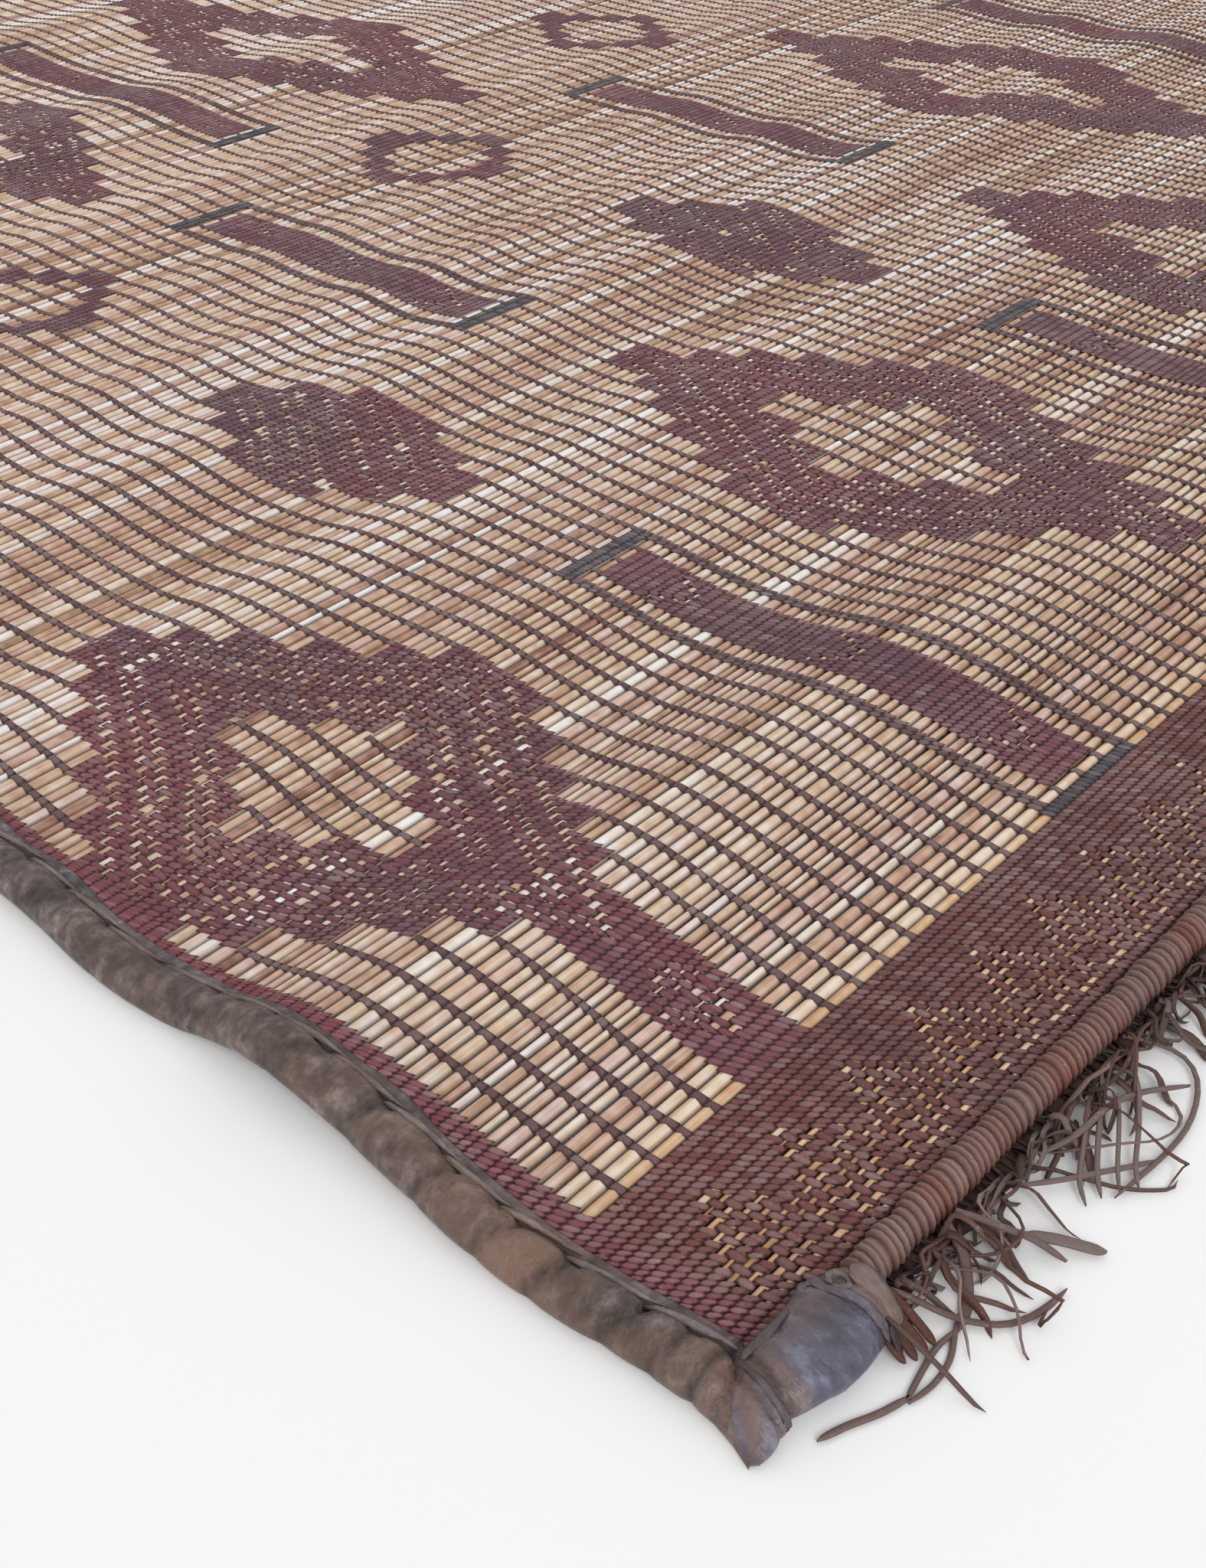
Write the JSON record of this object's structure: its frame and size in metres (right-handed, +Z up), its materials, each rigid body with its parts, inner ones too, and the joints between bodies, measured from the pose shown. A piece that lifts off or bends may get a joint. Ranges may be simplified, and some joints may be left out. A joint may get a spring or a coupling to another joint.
{
  "type": "reed and leather mat",
  "caption": "Large floor mat of straw reeds twined with leather thongs in stepped diamonds and bars, with rolled leather side binding, whipped ends, corner caps and a thong fringe.",
  "frame": {"origin": "middle of the mat's footprint, on the floor that it lies on", "axes": "+X across the mat, along its reeds; +Y along its length; +Z up from the floor"},
  "size_m": [1.8, 2.8086, 0.025],
  "materials": {
    "reed": "dry split reed with a low sheen, each reed its own straw, pink or pale tone",
    "thong_leather": "thin mauve-brown thong, worn and dry",
    "weave_leather": "close twining of dyed leather, maroon to grey mauve, worn",
    "outline_leather": "dark grey dyed leather, worn",
    "binding_leather": "rolled hide, mottled grey-brown, creased and polished by handling",
    "whipping_leather": "thong wound close round a core, red-brown",
    "cap_leather": "smooth hide, blue-grey worn through to brown, creased",
    "fringe_leather": "thin curled thong, dry and dusty"
  },
  "bodies": {
    "root": {"mat_panel": "reed", "binding_left": "binding_leather", "binding_right": "binding_leather", "end_roll_front": "whipping_leather", "end_roll_back": "whipping_leather", "cap_front_left": "cap_leather", "cap_front_right": "cap_leather", "cap_back_left": "cap_leather", "cap_back_right": "cap_leather", "fringe_front": "fringe_leather", "fringe_back": "fringe_leather"}
  },
  "joints": []
}
